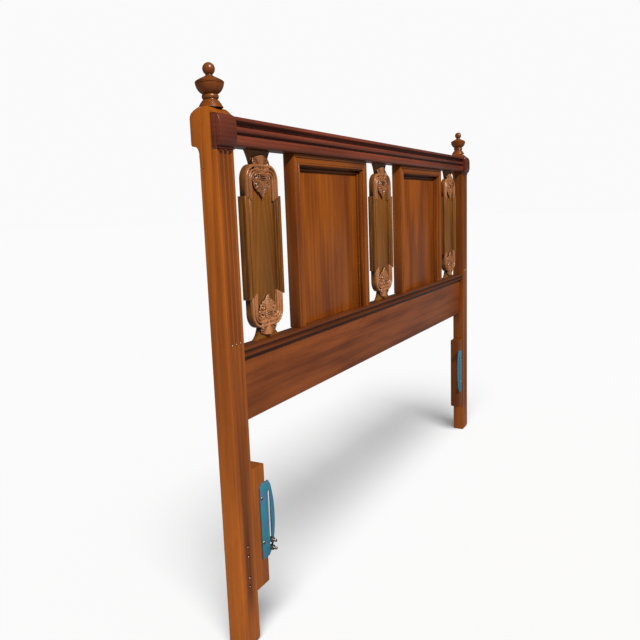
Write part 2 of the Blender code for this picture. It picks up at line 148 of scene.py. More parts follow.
# %% Bars, blocks and mitres
def only(kind, items):
    """The vertices or the edges among what an operator returns."""
    return [item for item in items if isinstance(item, kind)]


def bar(outline, place, start, end):
    """A closed outline extruded from start to end."""
    shape = bmesh.new()
    profile = shape.faces.new([shape.verts.new(place(a, b, start)) for a, b in outline])
    grown = bmesh.ops.extrude_face_region(shape, geom=[profile])
    reach = Vector(place(0.0, 0.0, end)) - Vector(place(0.0, 0.0, start))
    bmesh.ops.translate(shape, verts=only(bmesh.types.BMVert, grown["geom"]), vec=reach)
    bmesh.ops.recalc_face_normals(shape, faces=shape.faces)
    return shape


def sawn(shape, point, normal):
    """A shape cut by a plane; the side that the normal points to is thrown away."""
    everything = shape.verts[:] + shape.edges[:] + shape.faces[:]
    cut = bmesh.ops.bisect_plane(shape, geom=everything, plane_co=point, plane_no=normal, clear_outer=True)
    bmesh.ops.contextual_create(shape, geom=only(bmesh.types.BMEdge, cut["geom_cut"]))
    bmesh.ops.recalc_face_normals(shape, faces=shape.faces)
    return shape


def block(x, depth, z):
    """A plain rectangular block between two values of X, of depth and of Z."""
    outline = [(depth[0], z[0]), (depth[1], z[0]), (depth[1], z[1]), (depth[0], z[1])]
    return bar(outline, along_x, x[0], x[1])


sample = block((0.0, 0.1), (0.0, 0.1), (0.0, 0.1))
print("faces of a plain block:", len(sample.faces))
sample.free()


# %% Swept and turned shapes
def capped(shape, rings):
    """Walls between neighbouring rings of vertices, and a face over each end."""
    count = len(rings[0])
    for ring, following in zip(rings, rings[1:]):
        for i in range(count):
            j = (i + 1) % count
            shape.faces.new((ring[i], ring[j], following[j], following[i]))
    shape.faces.new(list(reversed(rings[0])))
    shape.faces.new(rings[-1])
    bmesh.ops.recalc_face_normals(shape, faces=shape.faces)
    return shape


def sweep(path, section, lean):
    """A closed section of (inset, depth) points carried along a path of (x, z) points.

    No operator mitres a section round corners, so its rings are placed here. The inset is measured to the
    right of the way along. `lean` slopes both ends: height gained for each unit of inset.
    """
    shape = bmesh.new()
    rings = []
    last = len(path) - 1
    for i, (x, z) in enumerate(path):
        before = Vector(path[i]) - Vector(path[max(i - 1, 0)])
        after = Vector(path[min(i + 1, last)]) - Vector(path[i])
        before = (before if i > 0 else after).normalized()
        after = (after if i < last else before).normalized()
        right_before = Vector((before.y, -before.x))
        right_after = Vector((after.y, -after.x))
        mitre = (right_before + right_after).normalized()
        mitre /= mitre.dot(right_before)
        tilt = lean if i in (0, last) else 0.0
        ring = []
        for inset, depth in section:
            place = (x + mitre.x * inset, behind(depth), z + (mitre.y + tilt) * inset)
            ring.append(shape.verts.new(place))
        rings.append(ring)
    return capped(shape, rings)


def turned(profile, steps=64):
    """A profile of (radius, height) points, the first and last on the axis, spun once round Z."""
    shape = bmesh.new()
    points = [shape.verts.new((radius, 0.0, height)) for radius, height in profile]
    edges = [shape.edges.new(pair) for pair in zip(points, points[1:])]
    bmesh.ops.spin(
        shape,
        geom=points + edges,
        cent=(0, 0, 0),
        axis=(0, 0, 1),
        angle=math.tau,
        steps=steps,
        use_merge=True,
        use_duplicate=False,
    )
    bmesh.ops.remove_doubles(shape, verts=shape.verts, dist=1e-6)
    bmesh.ops.recalc_face_normals(shape, faces=shape.faces)
    return shape


sample = turned([(0.0, 0.0), (0.1, 0.0), (0.1, 0.1), (0.0, 0.1)], 16)
print("faces of a turned disc:", len(sample.faces))
sample.free()


# %% Moving, joining, softening and carving
def moved(shape, matrix):
    """A shape carried by a matrix."""
    bmesh.ops.transform(shape, matrix=matrix, verts=shape.verts)
    return shape


def towards_front(x, depth, z):
    """A placement that turns a shape's +Z to point out of the front."""
    return Matrix.Translation((x, behind(depth), z)) @ Matrix.Rotation(math.pi / 2, 4, "X")


def joined(shapes):
    """Several closed shapes as one mesh."""
    whole = bmesh.new()
    for shape in shapes:
        mesh = bpy.data.meshes.new("part")
        shape.to_mesh(mesh)
        shape.free()
        whole.from_mesh(mesh)
        bpy.data.meshes.remove(mesh)
    return whole


def soften(shape, width, segments=2, sharper_than=35):
    """Round every edge that turns through more than this many degrees."""
    limit = math.radians(sharper_than)
    edges = [e for e in shape.edges if e.is_manifold and e.calc_face_angle(0.0) > limit]
    bmesh.ops.bevel(
        shape,
        geom=edges,
        offset=width,
        offset_type="OFFSET",
        segments=segments,
        profile=0.5,
        affect="EDGES",
        clamp_overlap=True,
        material=-1,
    )
    return shape


def carve(shape, cutters):
    """Cut several closed shapes out of another and return what is left."""
    objects = []
    for source in (shape, joined(cutters)):
        mesh = bpy.data.meshes.new("carving")
        source.to_mesh(mesh)
        source.free()
        holder = bpy.data.objects.new("carving", mesh)
        bpy.context.scene.collection.objects.link(holder)
        objects.append(holder)
    boolean = objects[0].modifiers.new("Cut", "BOOLEAN")
    boolean.solver = "EXACT"
    boolean.object = objects[1]
    graph = bpy.context.evaluated_depsgraph_get()
    result = bmesh.new()
    result.from_object(objects[0], graph)
    for holder in objects:
        bpy.data.meshes.remove(holder.data)
    bmesh.ops.dissolve_degenerate(result, dist=1e-6, edges=result.edges)
    return result


sample = soften(block((0.0, 0.1), (0.0, 0.1), (0.0, 0.1)), 0.01)
print("faces of a softened block:", len(sample.faces))
sample.free()

# %% [markdown]
# ## Tools for surfaces
#
# Each piece carries three attributes that the wood reads.
# `grain` holds a point's place in the plank it was cut from: along the grain, across it and into it.
# `hollow` is high in the corners of mouldings, where the wood is darkened as painted shade.
# `stain` is one value for the whole piece, because some pieces took the stain darker than others.
# Texture coordinates on the object would do for one piece, but the grain has to turn with each plank.


# %% Attributes and finished pieces
# Corners that turn inwards are darkened as painted shade, and fully once they turn this far.
FULL_HOLLOW = math.radians(32)
SHARP_EDGE = math.radians(38)


def hollow_values(shape):
    """How far each vertex sits in a corner that turns inwards, from 0 to 1."""
    values = []
    for vertex in shape.verts:
        inward = 0.0
        for edge in vertex.link_edges:
            if edge.is_manifold:
                inward = max(inward, -edge.calc_face_angle_signed(0.0))
        values.append(min(1.0, inward / FULL_HOLLOW))
    return values


def finish_piece(
    name, shape, slot, replaces, grain="Z", body="headboard", hollows=None, centred=False, stain=0.0
):
    """Make a shape into a finished object: its shading, attributes, material and the body it rides.

    `grain` is the axis that the wood runs along, and `centred` lays the plank's middle on the piece's own.
    """
    shape.verts.index_update()
    shape.verts.ensure_lookup_table()
    hollows = hollows or hollow_values(shape)
    mesh = bpy.data.meshes.new(name)
    shape.to_mesh(mesh)
    shape.free()
    mesh.shade_smooth()
    mesh.set_sharp_from_angle(angle=SHARP_EDGE)
    # The name's letters pick a place in the plank, so no two pieces show the same grain.
    seed = sum(ord(letter) * (i + 1) for i, letter in enumerate(name))
    plank = Vector((seed % 17 * 0.37, seed % 5 * 0.013 - 0.026, seed % 7 * 0.006))
    if centred:
        plank.y = -sum(vertex.co.x for vertex in mesh.vertices) / len(mesh.vertices)
    mesh.attributes.new("grain", "FLOAT_VECTOR", "POINT")
    mesh.attributes.new("hollow", "FLOAT", "POINT")
    mesh.attributes.new("stain", "FLOAT", "POINT")
    places = []
    for vertex in mesh.vertices:
        x, y, z = vertex.co
        along = (x, z, y) if grain == "X" else (z, x, y)
        places.extend(Vector(along) + plank)
    mesh.attributes["grain"].data.foreach_set("vector", places)
    mesh.attributes["hollow"].data.foreach_set("value", hollows)
    mesh.attributes["stain"].data.foreach_set("value", [stain] * len(mesh.vertices))
    mesh.materials.append(MATERIALS[slot])
    piece = bpy.data.objects.new(name, mesh)
    bpy.context.scene.collection.objects.link(piece)
    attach(piece, body)
    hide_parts(*replaces)
    return piece


def dress(node, shape, slot, **settings):
    """A finished piece that stands for one node of the frame."""
    return finish_piece(node + "_detail", shape, slot, (node,), **settings)


print("attributes on each piece: grain, hollow and stain")

# %% [markdown]
# ## Materials
#
# The woods share one recipe: growth rings cut lengthwise, streaks, fine pores and painted shade in hollows.
# What differs is the stain, the width of the rings and how far they wander.
# Each pattern's size is given in millimetres, as it would be measured on the board.


# %% Material helpers
def colour(code):
    """A scene-linear colour from an sRGB hex code."""
    channels = [int(code[i : i + 2], 16) / 255 for i in (1, 3, 5)]
    linear = [c / 12.92 if c <= 0.04045 else ((c + 0.055) / 1.055) ** 2.4 for c in channels]
    return (*linear, 1.0)


def add_node(tree, kind, inputs=None, **settings):
    """One shader node. An input's value is a number, a colour, or another node's output to link."""
    made = tree.nodes.new("ShaderNode" + kind)
    for key, value in settings.items():
        setattr(made, key, value)
    for socket, value in (inputs or {}).items():
        if isinstance(value, bpy.types.NodeSocket):
            tree.links.new(value, made.inputs[socket])
        else:
            made.inputs[socket].default_value = value
    return made


def new_material(name):
    """A material with only its Principled shader, and that shader."""
    material = bpy.data.materials.new(name)
    material.use_nodes = True
    return material, material.node_tree, material.node_tree.nodes["Principled BSDF"]


def blend(tree, factor, first, second):
    """Two colours mixed by a factor."""
    return add_node(tree, "Mix", {0: factor, 6: first, 7: second}, data_type="RGBA").outputs[2]


def noise_at(tree, vector, size, detail=2.0, roughness=0.5):
    """Noise whose features have a size in millimetres along, across and into the plank."""
    scale = tuple(1000.0 / side for side in size)
    stretched = add_node(tree, "Mapping", {"Vector": vector, "Scale": scale}).outputs[0]
    settings = {"Vector": stretched, "Scale": 1.0, "Detail": detail, "Roughness": roughness}
    return add_node(tree, "TexNoise", settings).outputs[0]


def levels(tree, value, low, high, to_low=0.0, to_high=1.0):
    """A value stretched from one range to another and held inside it."""
    inputs = {"Value": value, "From Min": low, "From Max": high, "To Min": to_low, "To Max": to_high}
    return add_node(tree, "MapRange", inputs, interpolation_type="SMOOTHSTEP").outputs[0]


print("mid grey in linear light:", round(colour("#808080")[0], 3))


# %% The wood recipe
# At scale 1, a wave texture's rings are this far apart.
WAVE_SPACING = math.tau / 20
# A growth ring is stretched this much along the plank.
RING_STRETCH = 20.0


def wood(
    name, pale, dark, glaze_and_shade, ring, wander, pith=(0.0, 0.05), contrast=1.0, gloss=0.34, coat=0.3, chevron=0.0
):
    """Stained and lacquered wood.

    `ring` is the width of a growth ring, `pith` is where the heart lies in the plank, and `chevron` is how
    far the grain slopes away from the plank's middle.
    """
    material, tree, shader = new_material(name)
    place = add_node(tree, "Attribute", attribute_name="grain").outputs["Vector"]
    if chevron:
        parts = add_node(tree, "SeparateXYZ", {0: place})
        across = add_node(tree, "Math", {0: parts.outputs[1]}, operation="ABSOLUTE").outputs[0]
        slope = {0: parts.outputs[0], 1: chevron, 2: across}
        slanted = add_node(tree, "Math", slope, operation="MULTIPLY_ADD").outputs[0]
        along, _, into = parts.outputs
        place = add_node(tree, "CombineXYZ", {0: along, 1: slanted, 2: into}).outputs[0]
    squeeze = (1.0 / RING_STRETCH, 1.0, 1.0)
    cut = add_node(tree, "Mapping", {"Vector": place, "Location": (0.0, *pith), "Scale": squeeze}).outputs[0]
    wave = {"Vector": cut, "Scale": WAVE_SPACING / ring, "Distortion": wander, "Detail": 3.0}
    wave["Detail Scale"] = 0.9
    rings = add_node(tree, "TexWave", wave, wave_type="RINGS", rings_direction="X").outputs["Fac"]
    tone = noise_at(tree, place, (385.0, 62.5, 62.5), detail=3.0)
    streak = noise_at(tree, place, (143.0, 5.88, 5.88), detail=4.0, roughness=0.6)
    # Real pores are under 0.2 mm wide; these are 0.45 mm, so that they show.
    pores = noise_at(tree, place, (22.2, 0.4545, 0.4545))
    ring_shade = levels(tree, rings, 0.15, 0.95, 0.0, 0.26 * contrast)
    streak_shade = levels(tree, streak, 0.3, 0.7, 0.0, 0.30 * contrast)
    tone_shade = levels(tree, tone, 0.32, 0.68, -0.10, 0.48)
    shade = add_node(tree, "Math", {0: ring_shade, 1: streak_shade}, operation="ADD").outputs[0]
    shade = add_node(tree, "Math", {0: shade, 1: tone_shade}, operation="ADD", use_clamp=True).outputs[0]
    stained = blend(tree, shade, colour(pale), colour(dark))
    pored = blend(tree, levels(tree, pores, 0.56, 0.72, 0.0, 0.35), stained, colour(glaze_and_shade))
    # Painted shade: where `hollow` is high, the colour is pulled towards the darkest colour.
    hollow = add_node(tree, "Attribute", attribute_name="hollow").outputs["Fac"]
    shaded_in_hollows = blend(tree, levels(tree, hollow, 0.0, 1.0, 0.0, 0.92), pored, colour(glaze_and_shade))
    stain = add_node(tree, "Attribute", attribute_name="stain").outputs["Fac"]
    tree.links.new(blend(tree, stain, shaded_in_hollows, colour(glaze_and_shade)), shader.inputs["Base Color"])
    tree.links.new(levels(tree, streak, 0.3, 0.7, gloss - 0.05, gloss + 0.07), shader.inputs["Roughness"])
    bump = add_node(tree, "Bump", {"Height": pores, "Strength": 0.08, "Distance": 0.0004})
    tree.links.new(bump.outputs[0], shader.inputs["Normal"])
    shader.inputs["Coat Weight"].default_value = coat
    shader.inputs["Coat Roughness"].default_value = 0.22
    return material


print(f"a 12 mm growth ring needs a wave scale of {WAVE_SPACING / 0.012:.1f}")

# %% The finishes
MATERIALS = {}

# Orange-brown fruitwood stain with long, open grain: the warmest wood of the piece.
MATERIALS["post_wood"] = wood(
    "post_wood", "#b8641a", "#83400b", "#2c0f04", ring=0.012, wander=3.5, pith=(0.02, 0.06), contrast=0.8
)

# Dark red mahogany stain that all but hides the grain.
MATERIALS["mahogany_wood"] = wood(
    "mahogany_wood",
    "#85402a",
    "#4f2015",
    "#140604",
    ring=0.008,
    wander=3.0,
    contrast=0.7,
    gloss=0.30,
    coat=0.5,
)

# Reddish-brown plank whose rings swirl, as in wood cut near a branch.
MATERIALS["rail_wood"] = wood(
    "rail_wood", "#88461a", "#522209", "#1a0802", ring=0.030, wander=7.0, pith=(0.03, 0.03), contrast=0.8
)

# Reddish-brown wood with straight, even grain.
MATERIALS["panel_wood"] = wood(
    "panel_wood", "#9a500b", "#572304", "#160501", ring=0.014, wander=2.5, pith=(0.25, 0.04), contrast=0.7
)

# Browner veneer, laid so that its grain slopes to both sides of the middle.
MATERIALS["splat_wood"] = wood(
    "splat_wood",
    "#905818",
    "#60350f",
    "#1c0a03",
    ring=0.014,
    wander=2.0,
    pith=(0.3, 0.05),
    contrast=0.9,
    chevron=0.12,
)

# Carved wood, painted pale on its high points as a highlight and dark in its hollows as shade.
MATERIALS["carving_wood"] = wood(
    "carving_wood", "#b27549", "#7c4724", "#0e0401", ring=0.010, wander=2.0, contrast=0.4, gloss=0.36
)
print("woods:", ", ".join(sorted(MATERIALS)))


# %% Paint and steel
def painted_steel():
    """Brushed-on teal paint: cloudy where it is thin, with small chips down to dull metal."""
    material, tree, shader = new_material("bracket_paint")
    place = add_node(tree, "Attribute", attribute_name="grain").outputs["Vector"]
    cloud = noise_at(tree, place, (16.67,) * 3, detail=4.0)
    chips = noise_at(tree, place, (3.846,) * 3, detail=5.0, roughness=0.7)
    paint = blend(tree, levels(tree, cloud, 0.45, 0.62), colour("#2f7488"), colour("#41678a"))
    bare = levels(tree, chips, 0.63, 0.68)
    tree.links.new(blend(tree, bare, paint, colour("#6b6258")), shader.inputs["Base Color"])
    tree.links.new(levels(tree, chips, 0.3, 0.7, 0.36, 0.55), shader.inputs["Roughness"])
    bump = add_node(tree, "Bump", {"Height": chips, "Strength": 0.2, "Distance": 0.0003})
    tree.links.new(bump.outputs[0], shader.inputs["Normal"])
    return material


def dull_steel():
    """Zinc-plated steel gone dull: grey, with a soft broken shine."""
    material, tree, shader = new_material("screw_steel")
    place = add_node(tree, "Attribute", attribute_name="grain").outputs["Vector"]
    cloud = noise_at(tree, place, (3.333,) * 3, detail=4.0)
    tree.links.new(blend(tree, cloud, colour("#b8b2a8"), colour("#8a8078")), shader.inputs["Base Color"])
    tree.links.new(levels(tree, cloud, 0.3, 0.7, 0.28, 0.5), shader.inputs["Roughness"])
    shader.inputs["Metallic"].default_value = 1.0
    return material


MATERIALS["bracket_paint"] = painted_steel()
MATERIALS["screw_steel"] = dull_steel()
print("materials:", ", ".join(sorted(MATERIALS)))

# %% [markdown]
# ## Posts
#
# Each post is a plain square leg. Three flutes run down its front from just under the dark end plate,
# and its top swells to the front and, with a glued-on shoulder, to the back.
# Every cut across a post shows the same outline, so its side view is drawn once and extruded to its width.
# The flutes are then carved with round-ended rods, as a round router bit would leave them.

# %% Posts and shoulders
CAPITAL_BACK = 0.0574
SEAM = 0.0315
SHOULDER_FOOT = 0.970
PLATE_LOW, PLATE_HIGH = 1.003, 1.066
PLATE_BACK = 0.0093
FLUTE_LOW, FLUTE_HIGH = 0.640, 0.994
FLUTE_SPACING = 0.0135
FLUTE_RADIUS = 0.0048
FLUTE_AXIS = -0.0022
# How much painted shade lies in the flutes.
FLUTE_HOLLOW = 0.45
SCREW_HOLES = (0.134, 0.1533, 0.1996, 0.2204)
FOOT_EASING = (0.007, 0.0112)
HALF_GAP = 0.00015
# The right-hand post took the stain much darker than the left-hand one.
POST_STAIN = {-1: 0.10, 1: 0.42}


def post_shape(side):
    """A post from its eased foot to its sloping roof, with its flutes and screw holes."""
    seam = SEAM - HALF_GAP
    outline = [(0.007, 0.0), (0.033, 0.0)]
    outline += arc((0.033, FOOT_EASING[1]), FOOT_EASING, -75, 0, 4)
    outline += [(0.040, SHOULDER_FOOT - HALF_GAP), (seam, SHOULDER_FOOT - HALF_GAP), (seam, POST_TOP)]
    outline += [
        (0.0175, POST_TOP),
        (0.0150, POST_TOP - 0.0005),
        (0.0120, 1.0770),
        (0.0087, 1.0748),
        (0.0055, 1.0722),
        (0.0024, 1.0692),
        (0.0002, 1.0672),
        (-0.0010, PLATE_HIGH + HALF_GAP),
        (PLATE_BACK + HALF_GAP, PLATE_HIGH + HALF_GAP),
        (PLATE_BACK + HALF_GAP, PLATE_LOW - HALF_GAP),
        (0.0, PLATE_LOW - HALF_GAP),
    ]
    outline += arc(FOOT_EASING, FOOT_EASING, 180, 255, 4)
    low, high = sorted((side * POST_INNER, side * POST_OUTER))
    shape = soften(bar(outline, along_x, low, high), 0.0012, segments=3)
    centre = side * POST_CENTRE
    flute = arc((0.0, FLUTE_HIGH), (FLUTE_RADIUS, FLUTE_RADIUS), 90, 0, 6)
    flute += arc((0.0, FLUTE_LOW), (FLUTE_RADIUS, FLUTE_RADIUS), 0, -90, 6)
    cutters = []
    for number in (-1, 0, 1):
        place = Matrix.Translation((centre + number * FLUTE_SPACING, behind(FLUTE_AXIS), 0.0))
        cutters.append(moved(turned(flute, 24), place))
    hole = [(0.0, 0.02), (0.0036, 0.02), (0.0036, -0.0006), (0.0022, -0.0022)]
    hole += [(0.0022, -0.014), (0.0, -0.014)]
    for height in SCREW_HOLES:
        cutters.append(moved(turned(hole, 16), towards_front(centre, 0.0, height)))
    return carve(shape, cutters)


def flute_hollows(shape, side):
    """Painted shade inside the flutes, besides the inner corners."""
    values = hollow_values(shape)
    reach = FLUTE_SPACING + FLUTE_RADIUS
    for i, vertex in enumerate(shape.verts):
        beside = abs(vertex.co.x - side * POST_CENTRE) < reach
        inside = 0.0004 < vertex.co.y - FRONT_Y < 0.0060
        if beside and inside and FLUTE_LOW - FLUTE_RADIUS < vertex.co.z < FLUTE_HIGH + FLUTE_RADIUS:
            values[i] = FLUTE_HOLLOW
    return values


def shoulder_shape(side):
    """The block behind a post's top: a quarter-round foot, an upright back and a rounded roof."""
    outline = [(SEAM + HALF_GAP, SHOULDER_FOOT), (0.040, SHOULDER_FOOT), (0.040, 0.992)]
    outline += arc((0.0505, 0.992), (0.0105, 0.0178), 180, 100, 8)
    outline += [(0.0555, 1.0102), (CAPITAL_BACK, 1.0135)]
    outline += [(CAPITAL_BACK, 1.0570), (0.0572, 1.0604), (0.0566, 1.0632), (0.0557, 1.0656)]
    outline += [(0.0545, 1.0676), (0.0528, 1.0697), (0.0505, 1.0715), (0.0472, 1.0735)]
    outline += [(0.0440, 1.0752), (0.0400, 1.0772), (0.0365, POST_TOP - 0.0002), (SEAM + HALF_GAP, POST_TOP)]
    low, high = sorted((side * POST_INNER, side * POST_OUTER))
    return soften(bar(outline, along_x, low, high), 0.0010, segments=3)


for side, word in SIDES:
    shape = post_shape(side)
    dress(word + "_post", shape, "post_wood", hollows=flute_hollows(shape, side), stain=POST_STAIN[side])
    dress(word + "_post_shoulder", shoulder_shape(side), "post_wood", stain=POST_STAIN[side])
print("posts: two, each with three flutes and four screw holes")

# %% [markdown]
# ## End plates
#
# A dark block let into each post carries the rail's line to the outer corner.
# Its front swells like a cushion, and a small ridge and a scalloped lip finish its lower edge.
# One outline could hold all of it, but separate layers let the cushion have rounder edges than the ridge.


# %% End plates
PLATE_FACE = -0.0006
PLATE_STAIN = 0.35
DROP_SPACING = 0.0150


def plate_shape(side):
    """A flat back layer, the cushion, the ridge and three scalloped drops."""
    low, high = sorted((side * POST_INNER, side * POST_OUTER))
    back = [(PLATE_BACK, PLATE_LOW), (PLATE_BACK, PLATE_HIGH)]
    back += [(PLATE_FACE, PLATE_HIGH), (PLATE_FACE, PLATE_LOW)]
    cushion = [(PLATE_FACE, PLATE_HIGH), (-0.0020, PLATE_HIGH)]
    cushion += arc((-0.0020, 1.0460), (0.0088, 0.0194), 100, 180, 9)
    cushion += arc((-0.0020, 1.0290), (0.0088, 0.0212), 180, 262, 9)
    cushion += [(PLATE_FACE, 1.0076)]
    ridge = [(PLATE_FACE, 1.0034)] + bead((PLATE_FACE, 1.0036), (PLATE_FACE, 1.0062), 0.0034)
    shapes = [
        soften(bar(back, along_x, low, high), 0.0006),
        soften(bar(cushion, along_x, low, high), 0.0018, segments=3, sharper_than=50),
        soften(bar(ridge, along_x, low + 0.0004, high - 0.0004), 0.0003),
    ]
    for number in (-1, 0, 1):
        centre = side * POST_CENTRE + number * DROP_SPACING
        drop = arc((centre, 1.0030), (0.0064, 0.0040), 180, 360, 8)
        shapes.append(soften(bar(drop, along_y, -0.0022, -0.0003), 0.0003))
    return joined(shapes)


for side, word in SIDES:
    dress(word + "_end_plate", plate_shape(side), "mahogany_wood", grain="X", stain=PLATE_STAIN)
print("end plates: two")

# %% [markdown]
# ## Finials
#
# Each finial is turned in one piece: a bell foot, a ring, an urn with a sharp rim, a crown and a ball.
# Stacked cones and spheres would leave seams, so half of its outline is drawn from the ball down and spun.

# %% Finials
FINIAL_AXIS = 0.0267
FINIAL_TOP = 1.159
FINIAL_STAIN = 0.62
BALL_RADIUS = 0.0115


def finial_shape(side):
    """The ball, neck, crown, urn, ring and bell, as points of (radius, height)."""
    profile = arc((0.0, FINIAL_TOP - BALL_RADIUS), (BALL_RADIUS, BALL_RADIUS), 90, -55, 14)
    profile += arc((0.0094, 1.1370), (0.0029, 0.0024), 130, 222, 5)
    profile += [(0.0085, 1.1346), (0.0115, 1.1330), (0.0150, 1.1315), (0.0185, 1.1298), (0.0222, 1.1278)]
    profile += [(0.0250, 1.1260), (0.0258, 1.1252), (0.0250, 1.1246), (0.0262, 1.1243)]
    profile += [(0.0268, 1.1237), (0.0268, 1.1226), (0.0262, 1.1220), (0.0256, 1.1216), (0.0262, 1.1208)]
    profile += [(0.0259, 1.1190), (0.0250, 1.1160), (0.0236, 1.1128), (0.0217, 1.1097), (0.0196, 1.1071)]
    profile += [(0.0176, 1.1053), (0.0160, 1.1042), (0.0148, 1.1037), (0.0143, 1.1030)]
    profile += arc((0.0130, 1.0985), (0.0027, 0.0044), 80, -80, 8)
    profile += [(0.0136, 1.0934)]
    profile += [(0.0146, 1.0921), (0.0160, 1.0904), (0.0176, 1.0884), (0.0191, 1.0862), (0.0204, 1.0840)]
    profile += [(0.0215, 1.0820), (0.0225, 1.0802), (0.0232, POST_TOP + 0.0003), (0.0, POST_TOP + 0.0003)]
    place = Matrix.Translation((side * POST_CENTRE, behind(FINIAL_AXIS), 0.0))
    return moved(turned(profile, 72), place)


for side, word in SIDES:
    dress(word + "_finial", finial_shape(side), "post_wood", stain=FINIAL_STAIN)
print(f"finials: {FINIAL_TOP - POST_TOP:.3f} m high")

# %% [markdown]
# ## Rails
#
# The top rail's front is worked with a deep cove between a square lip and two reeds.
# The lower rail is a wide plain board, and a moulded ledge is glued along its top.
# All three are the same from end to end, so each is one outline of its end grain, extruded between the posts.

# %% Rails and ledge
RAIL_END = POST_INNER - 2 * HALF_GAP
LEDGE_STAIN = 0.42


def top_rail_shape():
    """A square lip, a deep cove and two reeds, from the top down."""
    front = -0.003
    outline = [(0.038, RAIL_LOW.z), (0.038, RAIL_HIGH.z), (front, RAIL_HIGH.z), (front, 1.0580)]
    outline += [(front + 0.0012, 1.0570)]
    outline += arc((front + 0.0004, 1.0526), (0.0078, 0.0040), 75, -75, 8)
    outline += [(front + 0.0004, 1.0484)]
    outline += bead((0.0012, 1.0480), (0.0012, 1.0366), -0.0040, 10)
    outline += [(0.0044, 1.0356), (0.0048, 1.0342), (0.0044, 1.0328)]
    outline += bead((0.0016, 1.0318), (0.0016, 1.0124), -0.0044, 12)
    return soften(bar(outline, along_x, -RAIL_END, RAIL_END), 0.0004)


def ledge_shape():
    """A flat shelf over a small cove and a bead."""
    outline = [(0.033, 0.6039), (0.033, LEDGE_TOP), (0.0022, LEDGE_TOP), (0.0010, LEDGE_TOP - 0.0010)]
    outline += [(0.0010, 0.6200), (0.0024, 0.6188)]
    outline += arc((-0.0016, 0.6140), (0.0072, 0.0050), 60, -25, 6)
    outline += [(0.0036, 0.6112)]
    outline += bead((0.0022, 0.6106), (0.0022, 0.6062), -0.0016, 6)
    outline += [(0.0040, 0.6056), (0.0040, 0.6039)]
    return soften(bar(outline, along_x, -RAIL_END, RAIL_END), 0.0004)


dress("top_rail", top_rail_shape(), "mahogany_wood", grain="X")
lower_rail = block((-RAIL_END, RAIL_END), (0.014, 0.036), (0.472, 0.6036))
dress("lower_rail", soften(lower_rail, 0.0015, segments=3), "rail_wood", grain="X")
dress("lower_rail_ledge", ledge_shape(), "rail_wood", grain="X", stain=LEDGE_STAIN)
print(f"rails: {2 * RAIL_END:.3f} m long")

# %% [markdown]
# ## Panels
#
# The frame of each panel has a groove near its outer edge and a bead near its inner one.
# Inside it, three strips of stepped moulding lead down to the flat board.
# A joiner would run long lengths of both and saw their mitres, and that is how they are made here.

# %% Panels
PANEL_CENTRE = 0.3115
PANEL_HALF = 0.190
FRAME_FACE = 0.024
FRAME_BACK = 0.0355
FRAME_TOP = RAIL_UNDERSIDE - 2 * HALF_GAP
OPENING_TOP = 0.988
PANEL_LOW = LEDGE_TOP + 2 * HALF_GAP
SPARE_LENGTH = 0.001


def frame_section():
    """The face of the frame as (distance from its outer edge, depth)."""
    face = [(0.0, FRAME_BACK), (0.0, 0.0080), (0.0070, 0.0080), (0.0078, 0.0094)]
    face += [(0.0090, 0.0094), (0.0098, 0.0080), (0.0186, 0.0080), (0.0192, 0.0090)]
    face += bead((0.0194, 0.0086), (0.0238, 0.0086), -0.0014)
    face += [(FRAME_FACE, 0.0100), (FRAME_FACE, FRAME_BACK)]
    return face


def strip_section():
    """The stepped moulding as (distance inside the frame, depth)."""
    face = [(0.0003, 0.0247), (0.0003, 0.0125), (0.0018, 0.0125), (0.0026, 0.0140)]
    face += arc((0.0028, 0.0190), (0.0052, 0.0048), 95, 0, 6)
    face += [(0.0082, 0.0200), (0.0100, 0.0204)]
    face += arc((0.0100, 0.0232), (0.0026, 0.0024), 90, 10, 4)
    face += [(0.0127, 0.0247)]
    return face


# Upright's name, name of the piece across, section, half the width, top and rounding of each layer.
PANEL_LAYERS = (
    ("stile", "top_member", frame_section(), PANEL_HALF, FRAME_TOP, 0.0005),
    ("moulding", "top_moulding", strip_section(), PANEL_HALF - FRAME_FACE, OPENING_TOP, 0.0003),
)


def panel_pieces(side, word):
    """The two mitred layers of one panel, and its board."""
    middle = side * PANEL_CENTRE
    for upright_word, across_word, section, half, top, rounding in PANEL_LAYERS:
        outline = [(depth, top - inset) for inset, depth in section]
        across = bar(outline, along_x, middle - half - SPARE_LENGTH, middle + half + SPARE_LENGTH)
        for hand, hand_word in SIDES:
            edge = middle + hand * half
            across = sawn(across, (edge, 0.0, top), (hand, 0.0, -1.0))
            outline = [(edge - hand * inset, depth) for inset, depth in section]
            upright = bar(outline, along_z, PANEL_LOW, top + SPARE_LENGTH)
            upright = sawn(upright, (edge, 0.0, top), (-hand, 0.0, 1.0))
            dress(f"{word}_panel_{hand_word}_{upright_word}", soften(upright, rounding), "panel_wood")
        dress(f"{word}_panel_{across_word}", soften(across, rounding), "panel_wood", grain="X")
    reach = PANEL_HALF - FRAME_FACE - 2 * HALF_GAP
    board = block((middle - reach, middle + reach), (0.025, 0.031), (PANEL_LOW, OPENING_TOP - 2 * HALF_GAP))
    dress(f"{word}_panel_board", soften(board, 0.0006), "panel_wood")


for side, word in SIDES:
    panel_pieces(side, word)
print("panels: two, seven pieces each")

# %% [markdown]
# ## Splats
#
# A splat is a shaped board. Reeded edgings run up its sides, a reeded band follows each arched end,
# and a carved shield with a leafy crest sits over each band and laps the neck.
# The board and necks are outlines given a thickness. The edgings are bars sawn at a slope, and the bands
# are the same kind of moulding swept round the arch.

# %% Splat boards, edgings and necks
SPLAT_CENTRE = 0.6208
SPLAT_FRONT, SPLAT_BACK = 0.020, 0.0315
SPLAT_LOW, SPLAT_HIGH = 0.650, 0.983
END_HALF, MID_HALF = 0.058, 0.066
CORNER = 0.032
STEP_LOW, STEP_HIGH = 0.712, 0.920
STEP_SLOPE = 0.42
EDGING = 0.025
EDGING_BACK = SPLAT_FRONT - 2 * HALF_GAP
STEP_DROP = STEP_SLOPE * (MID_HALF - END_HALF)


